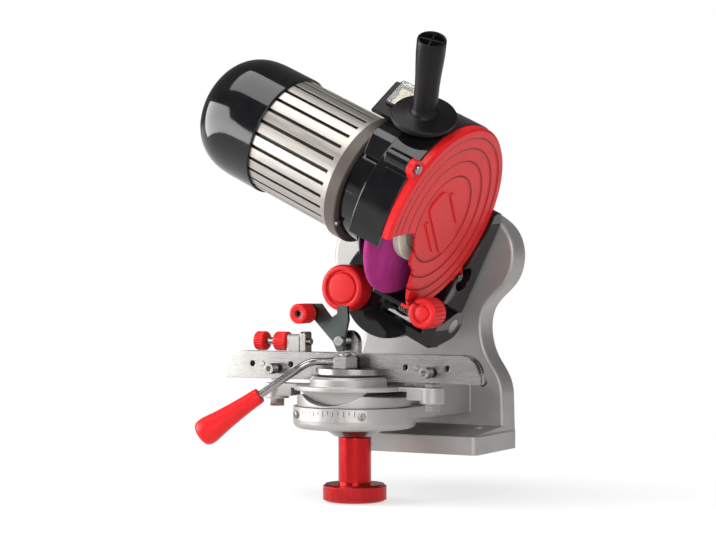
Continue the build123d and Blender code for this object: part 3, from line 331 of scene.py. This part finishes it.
def ribbed_alloy():
    # bright rib tops, and slots painted near black as painted shade, told apart by the distance from the
    # motor axis
    mat = blank_finish("ribbed_alloy", (0.36, 0.34, 0.31), 0.9, 0.42)
    local, far = from_axis(mat, HEAD @ WHEEL_AXIS, TILT, (0, 1, 1))
    top = spread(mat, far, *RIB_SLOPE, 0, 1)
    streak = noise(mat, scaled(mat, local, (40, 1500, 1500)), 1.0, 3)
    tone = ramp(mat, streak, [(0.25, (0.33, 0.31, 0.282)), (0.75, (0.48, 0.452, 0.413))])
    rounded = soft_edges(mat, 0.0006)
    # painted shade: the slots are drawn near black
    link(mat, blend_colour(mat, top, (0.045, 0.04, 0.034), tone), shader_of(mat).inputs["Base Color"])
    link(mat, spread(mat, streak, 0.25, 0.75, 0.36, 0.50), shader_of(mat).inputs["Roughness"])
    link(mat, bump(mat, streak, 0.00006, 0.3, rounded), shader_of(mat).inputs["Normal"])
    return mat


def abrasive():
    mat = blank_finish("abrasive", (0.30, 0.020, 0.15), 0.0, 0.9)
    shader_of(mat).inputs["Specular IOR Level"].default_value = 0.2
    at = place(mat)
    grit = mat.node_tree.nodes.new("ShaderNodeTexVoronoi")
    grit.inputs["Scale"].default_value = 1700
    link(mat, at, grit.inputs["Vector"])
    cloud = noise(mat, at, 90, 5)
    tone = ramp(mat, cloud, [(0.3, (0.27, 0.016, 0.13)), (0.7, (0.36, 0.030, 0.19))])
    sparkle = spread(mat, grit.outputs["Distance"], 0.0, 0.28, 0.5, 0)
    link(mat, blend_colour(mat, sparkle, tone, (0.48, 0.10, 0.32)), shader_of(mat).inputs["Base Color"])
    link(mat, spread(mat, cloud, 0.3, 0.7, 0.78, 0.95), shader_of(mat).inputs["Roughness"])
    link(mat, bump(mat, grit.outputs["Distance"], 0.00025, 0.6), shader_of(mat).inputs["Normal"])
    return mat


def clear_plastic():
    mat = blank_finish("clear_plastic", (0.95, 0.94, 0.90), 0.0, 0.10)
    shader = shader_of(mat)
    shader.inputs["Transmission Weight"].default_value = 0.9
    shader.inputs["IOR"].default_value = 1.3
    haze = noise(mat, place(mat), 160, 3)
    link(mat, spread(mat, haze, 0.3, 0.7, 0.05, 0.16), shader.inputs["Roughness"])
    link(mat, bump(mat, haze, 0.0001, 0.1), shader.inputs["Normal"])
    return mat


FINISHES = {
    "cast_alloy": cast_alloy(),
    "scale_alloy": scale_alloy(),
    "steel": brushed_steel("steel", (0.31, 0.302, 0.29), 0.24),
    "dark_steel": brushed_steel("dark_steel", (0.070, 0.080, 0.077), 0.36, along=(300, 300, 300)),
    "bronze": brushed_steel("bronze", (0.48, 0.30, 0.13), 0.35),
    "black_paint": gloss_black(),
    "red_plastic": red_moulding(),
    "red_anodised": red_anodised(),
    "motor_alloy": ribbed_alloy(),
    "grey_paint": satin_plastic("grey_paint", (0.085, 0.070, 0.060), 0.34, (0.22, 0.195, 0.175)),
    "bearing_steel": brushed_steel("bearing_steel", (0.66, 0.66, 0.66), 0.16),
    "black_plastic": satin_plastic("black_plastic", (0.007, 0.006, 0.006), 0.34,
                                   (0.018, 0.016, 0.015), gloss=0.14),
    "rocker_plastic": satin_plastic("rocker_plastic", (0.66, 0.61, 0.46), 0.25, (0.74, 0.70, 0.56)),
    "clear_plastic": clear_plastic(),
    "abrasive": abrasive(),
    "cream_plastic": satin_plastic("cream_plastic", (0.62, 0.58, 0.48), 0.38, (0.70, 0.66, 0.56)),
}


def dress(piece, finish):
    piece.data.materials.clear()
    piece.data.materials.append(FINISHES[finish])


for entry in frame["record"]["subparts"]:
    dress(nodes[entry["node"]], entry["material_slot"])


# Pieces modelled over the solids, sizes in millimetres

FACING_FRONT = Matrix.Rotation(math.radians(90), 4, "X")
FACING_LEFT = Matrix(((0, 0, -1, 0), (-1, 0, 0, 0), (0, 1, 0, 0), (0, 0, 0, 1)))

AXIS_R = 0.6                # small ring that closes a turned end on its axis
CAP_R = 50.0
CAP_WALL = 3.5
CAP_SPIGOT_R = 48.05        # inside of the cap where it sits on the motor case
CAP_OPEN = 120.0            # open end, shoulder, start of the dome and closed end, from the wheel
CAP_SHOULDER = 124.1
CAP_STRAIGHT = 146.0
CAP_END = 191.0
HANDLE_X = 9.0
HANDLE_LEAN = math.radians(31.5)
HANDLE_RIB = (18, 1.8, 8.2)
HANDLE_RIB_Z = 148.2
HANDLE_RIB_TURN = 20
LEVER_BEND = Vector((-30.5, -20, -7)) * MM
LEVER_END = Vector((-115, -45, -66.3)) * MM
GRIP_START = 47 * MM
LOCK_KNOB_AT = (-28.397, 0, -13.405)
STOP_LINE_AT = (0, 10, 7.7)
PAWL_SCREW_AT = (-41, 0, 30.5)
DEPTH_KNOB_AT = (51.2, 0, 4)
DEPTH_KNOB_R = 12.3
STOP_ROD_BORE = 3.08
FLUTE_DEPTH = 0.8
FLUTE_MARGIN = 0.16
KNOB_EDGE = 0.25            # rounding of the flutes' edges
KNOB_SMOOTH = 40


def shift(x, y, z):
    return Matrix.Translation((x * MM, y * MM, z * MM))


def turned(name, rings, sides=64, bored=False):
    # rings are (radius, height) from end to end; a bored piece is joined up through its hole
    bpy.ops.object.select_all(action="DESELECT")
    radius, height = rings[0]
    fill = "NOTHING" if bored else "NGON"
    bpy.ops.mesh.primitive_circle_add(vertices=sides, radius=radius * MM, fill_type=fill)
    piece = bpy.context.object
    piece.name = name
    bpy.ops.object.mode_set(mode="EDIT")
    bpy.ops.mesh.select_all(action="SELECT")
    bpy.ops.transform.translate(value=(0, 0, height * MM))
    for next_radius, next_height in rings[1:]:
        rise = {"value": (0, 0, (next_height - height) * MM)}
        if bored:
            bpy.ops.mesh.extrude_edges_move(TRANSFORM_OT_translate=rise)
        else:
            bpy.ops.mesh.extrude_region_move(TRANSFORM_OT_translate=rise)
        grow = next_radius / radius
        bpy.ops.transform.resize(value=(grow, grow, 1), center_override=(0, 0, next_height * MM))
        radius, height = next_radius, next_height
    if bored:
        bpy.ops.mesh.select_mode(type="EDGE")
        bpy.ops.mesh.select_all(action="DESELECT")
        bpy.ops.mesh.select_non_manifold()
        bpy.ops.mesh.bridge_edge_loops()
    bpy.ops.mesh.select_all(action="SELECT")
    bpy.ops.mesh.normals_make_consistent(inside=False)
    bpy.ops.object.mode_set(mode="OBJECT")
    return piece


def pick_faces(piece, wanted):
    # leaves the piece in edit mode with only the wanted faces selected
    bpy.ops.object.mode_set(mode="EDIT")
    bpy.ops.mesh.select_mode(type="FACE")
    bpy.ops.mesh.select_all(action="DESELECT")
    bpy.ops.object.mode_set(mode="OBJECT")
    for face in piece.data.polygons:
        face.select = wanted(face)
    bpy.ops.object.mode_set(mode="EDIT")


def round_edges(piece, width):
    made = piece.modifiers.new("round", "BEVEL")
    made.width = width * MM
    made.segments = 2
    made.limit_method = "ANGLE"
    made.angle_limit = math.radians(35)
    made.harden_normals = False
    bpy.ops.object.modifier_apply(modifier="round")


def smooth(angle=30):
    # works on the selected piece
    bpy.ops.object.shade_smooth_by_angle(angle=math.radians(angle))


def flute(piece, radius, sides, low, high):
    # every other face of the rim is pushed in
    def on_rim(face):
        x, y, z = face.center
        out = math.hypot(x, y) > radius * MM * 0.96 and abs(face.normal.z) < 0.3
        step = int(math.floor(math.atan2(y, x) / math.tau * sides)) % 2
        return out and step == 0 and low * MM < z < high * MM
    pick_faces(piece, on_rim)
    bpy.ops.mesh.inset(thickness=FLUTE_MARGIN * MM, depth=-FLUTE_DEPTH * MM, use_individual=True)
    bpy.ops.object.mode_set(mode="OBJECT")


def fit(piece, matrix, body, slot, *stands_for):
    piece.data.transform(matrix)
    piece.data.update()
    dress(piece, slot)
    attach(piece, body)
    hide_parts(*stands_for)


def dome(end, start, radius):
    # squared-off half oval from the straight wall to the closed end
    square = 0.77
    out = []
    for turn in range(4, 90, 6):
        a = math.radians(turn)
        out.append((radius * math.cos(a) ** square, start + (end - start) * math.sin(a) ** square))
    return out + [(AXIS_R, end)]


def motor_cap_shell():
    # heights run back from the wheel axis's origin towards the closed end
    inside = CAP_R - CAP_WALL
    inner = dome(CAP_END - CAP_WALL, CAP_STRAIGHT, inside)[::-1]
    inner += [(inside, CAP_STRAIGHT), (inside, CAP_SHOULDER), (CAP_SPIGOT_R, CAP_SHOULDER)]
    outer = [(CAP_SPIGOT_R, CAP_OPEN), (CAP_R - 0.6, CAP_OPEN), (CAP_R, CAP_OPEN + 0.6),
             (CAP_R, CAP_OPEN + 14), (CAP_R, CAP_STRAIGHT)]
    cap = turned("motor_cap_shell", inner + outer + dome(CAP_END, CAP_STRAIGHT, CAP_R), 96)
    smooth()
    fit(cap, WHEEL_LINE @ FACING_LEFT, "head", "black_paint", "motor_cap")


def grip_handle():
    # round foot, waisted stem, and a hollow end with crossed ribs
    rings = [(AXIS_R, 82), (24.4, 82), (25, 82.6), (25, 85.2), (24.4, 86.1), (22.6, 86.7), (14, 87.3),
             (11.6, 88.1), (10.1, 89.8), (9.5, 92), (9.3, 96), (9.3, 112), (9.7, 121), (10.4, 131),
             (10.9, 140), (11, 148), (11, 151.6), (10.7, 152.6), (10, 153), (9.2, 152.8), (8.9, 152),
             (8.9, 144.2), (AXIS_R, 144.2)]
    grip = turned("grip_handle", rings, 64)
    for turn in (0, 90):
        bpy.ops.mesh.primitive_cube_add(size=1, location=(0, 0, HANDLE_RIB_Z * MM))
        rib = bpy.context.object
        rib.scale = Vector(HANDLE_RIB) * MM
        rib.rotation_euler.z = math.radians(turn + HANDLE_RIB_TURN)
        bpy.ops.object.transform_apply(location=True, rotation=True, scale=True)
        round_edges(rib, 0.4)
        rib.select_set(True)
        grip.select_set(True)
        bpy.context.view_layer.objects.active = grip
        bpy.ops.object.join()
    smooth()
    lean = Matrix.Rotation(HANDLE_LEAN, 4, "X")
    fit(grip, WHEEL_LINE @ shift(HANDLE_X, 0, 0) @ lean, "head", "black_plastic", "handle")


def lever_handle():
    # swelling grip with a blind hole in each end, the first one for the rod
    rings = [(3.05, 30), (3.05, 0.4), (3.5, 0), (5.2, 0), (5.9, 0.3), (6.3, 1.1), (6.5, 6), (6.9, 14),
             (7.6, 23), (8.5, 32), (9.5, 40), (10.4, 46), (10.9, 50), (10.9, 53), (10.4, 55.6),
             (9.3, 57.4), (7.6, 58.3), (5, 58.5), (2.9, 58.5), (2.5, 58), (2.4, 48.5)]
    grip = turned("lever_handle", rings, 48)
    smooth(KNOB_SMOOTH)
    out = (LEVER_END - LEVER_BEND).normalized()
    up = out.cross(Vector((0, 1, 0))).normalized()
    turn = Matrix((up.cross(out), up, out)).transposed().to_4x4()
    start = Matrix.Translation(LEVER_BEND + out * GRIP_START)
    fit(grip, VISE @ start @ turn, "lever", "red_plastic", "lever_grip")


def tilt_hand_knob():
    # smooth round knob with a ring sunk in its face
    rings = [(4.08, -47.2), (17.2, -47.2), (18.4, -46.6), (18.75, -45.4), (18.75, -31.2), (18.4, -29.9),
             (17.4, -29.2), (15.2, -29), (14.4, -29.3), (14.1, -30.2), (13.9, -31.2), (12.6, -31.2),
             (12.3, -30.4), (11.6, -29.7), (9, -29.5), (AXIS_R, -29.5)]
    knob = turned("tilt_hand_knob", rings, 72)
    smooth(KNOB_SMOOTH)
    line = HEAD @ shift(*LOCK_KNOB_AT) @ FACING_FRONT
    fit(knob, line, "tilt_lock", "red_plastic", "tilt_lock_knob")


def thumb_knob(name, radius, low, high, bore, cup):
    # fluted knob; cup is the depth of the hollow in its outer end
    sides = 40
    cup_r = bore + 2.2
    rings = [(bore, low), (radius - 2.2, low), (radius - 0.7, low + 0.4), (radius, low + 1.5),
             (radius, high - 1.5), (radius - 0.7, high - 0.4), (radius - 2.0, high), (cup_r, high),
             (cup_r - 0.6, high - cup), (bore, high - cup)]
    knob = turned(name, rings, sides, bored=True)
    flute(knob, radius, sides, low, high)
    round_edges(knob, KNOB_EDGE)
    smooth(KNOB_SMOOTH)
    return knob


def stop_knobs():
    line = VISE @ shift(*STOP_LINE_AT) @ FACING_LEFT
    adjust = thumb_knob("adjust_thumb_knob", 7.8, 87, 96.6, STOP_ROD_BORE, 0.4)
    fit(adjust, line, "stop_adjust", "red_plastic", "stop_adjust_knob")
    lock = thumb_knob("lock_thumb_knob", 7.8, 66.1, 78.2, STOP_ROD_BORE, 0.4)
    fit(lock, line, "stop_lock", "red_plastic", "stop_lock_knob")


def pawl_screw():
    # socket screw with a fluted red grip pressed on its head
    line = VISE @ shift(*PAWL_SCREW_AT) @ FACING_FRONT
    grip = thumb_knob("pawl_thumb_knob", 8, 2, 19, 3.1, 0.8)
    fit(grip, line, "stop_thumb", "red_plastic", "stop_knob")
    rings = [(2.2, -3), (2.2, 2.6), (3, 2.6), (3, 16.6), (2.7, 17), (1.9, 17), (1.8, 13), (0.5, 13)]
    screw = turned("pawl_socket_screw", rings, 24)
    smooth(KNOB_SMOOTH)
    fit(screw, line, "stop_thumb", "dark_steel", "stop_knob")


def depth_stop_knob():
    # closed fluted knob with a ring sunk in its face, on a plain screw
    line = HEAD @ shift(*DEPTH_KNOB_AT) @ FACING_FRONT
    low, high, sides = -36.4, -17, 44
    rings = [(3.02, -24), (3.02, low), (10.1, low), (11.6, -36), (DEPTH_KNOB_R, -34.9),
             (DEPTH_KNOB_R, -18.5), (11.6, -17.4), (10.3, high), (7.7, high), (7.4, -18.6), (5.8, -18.6),
             (5.5, -17.3), (AXIS_R, -17.3)]
    knob = turned("depth_thumb_knob", rings, sides)
    flute(knob, DEPTH_KNOB_R, sides, low, high)
    round_edges(knob, KNOB_EDGE)
    smooth(KNOB_SMOOTH)
    fit(knob, line, "depth_stop", "red_plastic", "depth_knob")
    screw = turned("depth_screw", [(2.6, -47.6), (3, -47.2), (3, -24.2)], 32)
    smooth(KNOB_SMOOTH)
    fit(screw, line, "depth_stop", "steel", "depth_knob")


motor_cap_shell()
grip_handle()
lever_handle()
tilt_hand_knob()
stop_knobs()
pawl_screw()
depth_stop_knob()


# Floor, light and camera

WHITE = 1.0
AMBIENT = 0.55
CEILING = 0.16
BACKDROP_TOP = (-0.05, 0.08)        # height of a reflected ray where the backdrop gives way
FLOOR_SIZE = 8
FLOOR_GAP = 0.001
FLOOR_FADE = (0.15, 0.75)           # distance over which the floor runs out to white
FLOOR_GLOW = 0.62                   # share of plain white in the floor under the object
LAMP_AIM = Vector((0.0, -0.06, 0.15))
# name, place, width, height, watts
LAMPS = (
    ("key", (-1.05, -0.62, 0.32), 1.2, 0.8, 22),
    ("fill", (0.9, -1.5, 0.5), 1.0, 0.8, 15),
    ("top", (-0.2, -0.6, 1.7), 1.2, 1.2, 20),
)
CAMERA_AT = (0.780, -1.449, 0.1457)
CAMERA_TURN = math.radians(30)
CAMERA_SHIFT = 0.0045
FOCAL_PX = 2000
PICTURE_WIDTH_PX = 716
SENSOR = 36


def seen_directly(tree):
    # 1 for what the camera sees itself, in a mirror surface or through a clear one
    path = tree.nodes.new("ShaderNodeLightPath")
    best = path.outputs["Is Camera Ray"]
    for name in ("Is Glossy Ray", "Is Transmission Ray"):
        either = tree.nodes.new("ShaderNodeMath")
        either.operation = "MAXIMUM"
        tree.links.new(best, either.inputs[0])
        tree.links.new(path.outputs[name], either.inputs[1])
        best = either.outputs["Value"]
    return best


def mixed(tree, fac, a, b):
    made = tree.nodes.new("ShaderNodeMix")
    tree.links.new(fac, made.inputs["Factor"])
    for socket, value in ((made.inputs[2], a), (made.inputs[3], b)):
        if isinstance(value, float):
            socket.default_value = value
        else:
            tree.links.new(value, socket)
    return made.outputs[0]


def world_strength(tree):
    # white for the camera; reflections show the same backdrop up to its top, then a dim ceiling
    coords = tree.nodes.new("ShaderNodeTexCoord")
    split = tree.nodes.new("ShaderNodeSeparateXYZ")
    tree.links.new(coords.outputs["Generated"], split.inputs["Vector"])
    height = tree.nodes.new("ShaderNodeMapRange")
    low, high = BACKDROP_TOP
    for key, number in (("From Min", low), ("From Max", high), ("To Min", WHITE), ("To Max", CEILING)):
        height.inputs[key].default_value = number
    tree.links.new(split.outputs["Z"], height.inputs["Value"])
    path = tree.nodes.new("ShaderNodeLightPath")
    shown = mixed(tree, path.outputs["Is Camera Ray"], height.outputs["Result"], WHITE)
    return mixed(tree, seen_directly(tree), AMBIENT, shown)


def floor_white():
    # pale floor that keeps the shadow near the object and runs out to plain white
    mat = bpy.data.materials.new("floor_white")
    mat.use_nodes = True
    shader = shader_of(mat)
    shader.inputs["Base Color"].default_value = (0.9, 0.9, 0.9, 1)
    shader.inputs["Roughness"].default_value = 0.9
    shader.inputs["Specular IOR Level"].default_value = 0.0
    coords = node(mat, "ShaderNodeTexCoord")
    far = mat.node_tree.nodes.new("ShaderNodeVectorMath")
    far.operation = "LENGTH"
    link(mat, coords.outputs["Object"], far.inputs[0])
    fade = spread(mat, far.outputs["Value"], *FLOOR_FADE, FLOOR_GLOW, 1)
    amount = mat.node_tree.nodes.new("ShaderNodeMath")
    amount.operation = "MULTIPLY"
    link(mat, fade, amount.inputs[0])
    link(mat, seen_directly(mat.node_tree), amount.inputs[1])
    white = node(mat, "ShaderNodeEmission", Color=(1, 1, 1, 1), Strength=1.0)
    mix = mat.node_tree.nodes.new("ShaderNodeMixShader")
    link(mat, amount.outputs["Value"], mix.inputs["Fac"])
    link(mat, shader.outputs["BSDF"], mix.inputs[1])
    link(mat, white.outputs["Emission"], mix.inputs[2])
    link(mat, mix.outputs["Shader"], mat.node_tree.nodes["Material Output"].inputs["Surface"])
    return mat


def studio():
    low = cad_box[0][2] - FLOOR_GAP
    bpy.ops.object.select_all(action="DESELECT")
    bpy.ops.mesh.primitive_plane_add(size=FLOOR_SIZE, location=(0, 0, low))
    floor = bpy.context.object
    floor.name = "floor"
    floor.data.materials.append(floor_white())

    world = bpy.data.worlds.new("studio")
    bpy.context.scene.world = world
    world.use_nodes = True
    tree = world.node_tree
    background = tree.nodes["Background"]
    background.inputs["Color"].default_value = (1, 1, 1, 1)
    tree.links.new(world_strength(tree), background.inputs["Strength"])

    for name, pos, wide, high, watts in LAMPS:
        bpy.ops.object.light_add(type="AREA", location=pos)
        lamp = bpy.context.object
        lamp.name = name
        lamp.data.shape = "RECTANGLE"
        lamp.data.size = wide
        lamp.data.size_y = high
        lamp.data.energy = watts
        lamp.rotation_euler = (LAMP_AIM - Vector(pos)).to_track_quat("-Z", "Y").to_euler()

    level = (math.radians(90), 0, CAMERA_TURN)
    bpy.ops.object.camera_add(location=CAMERA_AT, rotation=level)
    camera = bpy.context.object
    camera.data.sensor_width = SENSOR
    camera.data.sensor_fit = "HORIZONTAL"
    camera.data.lens = FOCAL_PX / PICTURE_WIDTH_PX * SENSOR
    camera.data.shift_x = CAMERA_SHIFT
    bpy.context.scene.camera = camera
    bpy.context.scene.view_settings.view_transform = "Standard"


studio()
